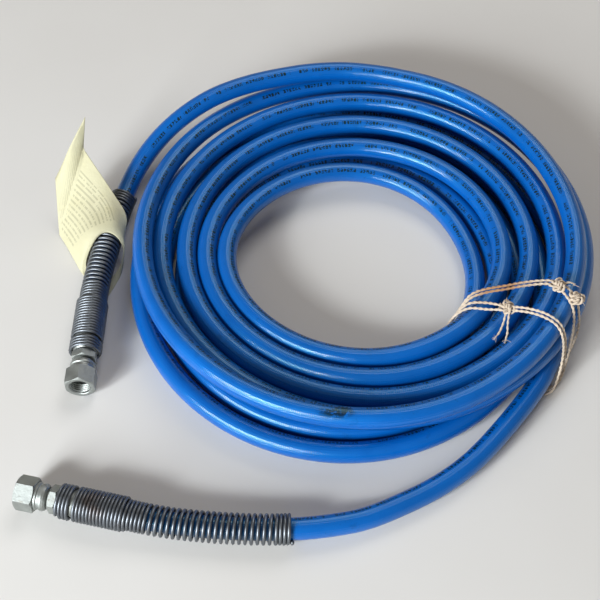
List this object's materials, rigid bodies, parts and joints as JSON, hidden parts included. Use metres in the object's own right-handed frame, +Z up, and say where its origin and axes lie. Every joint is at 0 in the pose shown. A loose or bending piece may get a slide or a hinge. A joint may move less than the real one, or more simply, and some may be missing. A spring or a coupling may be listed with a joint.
{
  "type": "airless paint hose",
  "caption": "Coiled high-pressure hose for airless paint spraying, tied with twine, with a spring guard and a swivel nut at each end and a paper tag",
  "frame": {"origin": "bottom centre of the bounding box, on the surface that the coil lies on", "axes": "+Z up, +Y from the front of the coil to its back, +X to the right, with both fittings on the left"},
  "size_m": [0.3503, 0.3628, 0.066],
  "materials": {
    "hose": "smooth blue polyurethane cover with a faint braid pattern",
    "core_tube": "natural nylon",
    "braid": "woven fibre braid",
    "zinc_plate": "zinc-plated steel, turned and crimped",
    "guard_wire": "dark spring-steel wire",
    "twine": "twisted natural twine",
    "tag_paper": "plain matte paper"
  },
  "bodies": {
    "hose": {"hose_coil": "hose", "hose_lead_a": "hose", "hose_lead_b": "hose", "core_tube_end_a": "core_tube", "braid_end_a": "braid", "cover_end_a": "hose", "ferrule_a": "zinc_plate", "stem_a": "zinc_plate", "spring_guard_a": "guard_wire", "core_tube_end_b": "core_tube", "braid_end_b": "braid", "cover_end_b": "hose", "ferrule_b": "zinc_plate", "stem_b": "zinc_plate", "spring_guard_b": "guard_wire", "twine_tie_1": "twine", "twine_tie_2": "twine", "twine_knot_1": "twine", "twine_knot_2": "twine", "twine_knot_3": "twine"},
    "nut_a": {"swivel_nut_a": "zinc_plate"},
    "nut_b": {"swivel_nut_b": "zinc_plate"},
    "tag": {"paper_tag": "tag_paper"}
  },
  "joints": [
    {"name": "swivel_a", "type": "hinge", "parent": "hose", "child": "nut_a", "pos_m": [-0.16759, -0.15063, 0.0103], "axis": [-0.9744, 0.225, 0], "continuous": true},
    {"name": "swivel_b", "type": "hinge", "parent": "hose", "child": "nut_b", "pos_m": [-0.14396, -0.07599, 0.0103], "axis": [-0.0175, -0.9998, 0], "continuous": true},
    {"name": "tag_slide", "type": "slide", "parent": "hose", "child": "tag", "axis": [-0.12, -0.9928, 0], "range_m": [0, 0.01]}
  ]
}
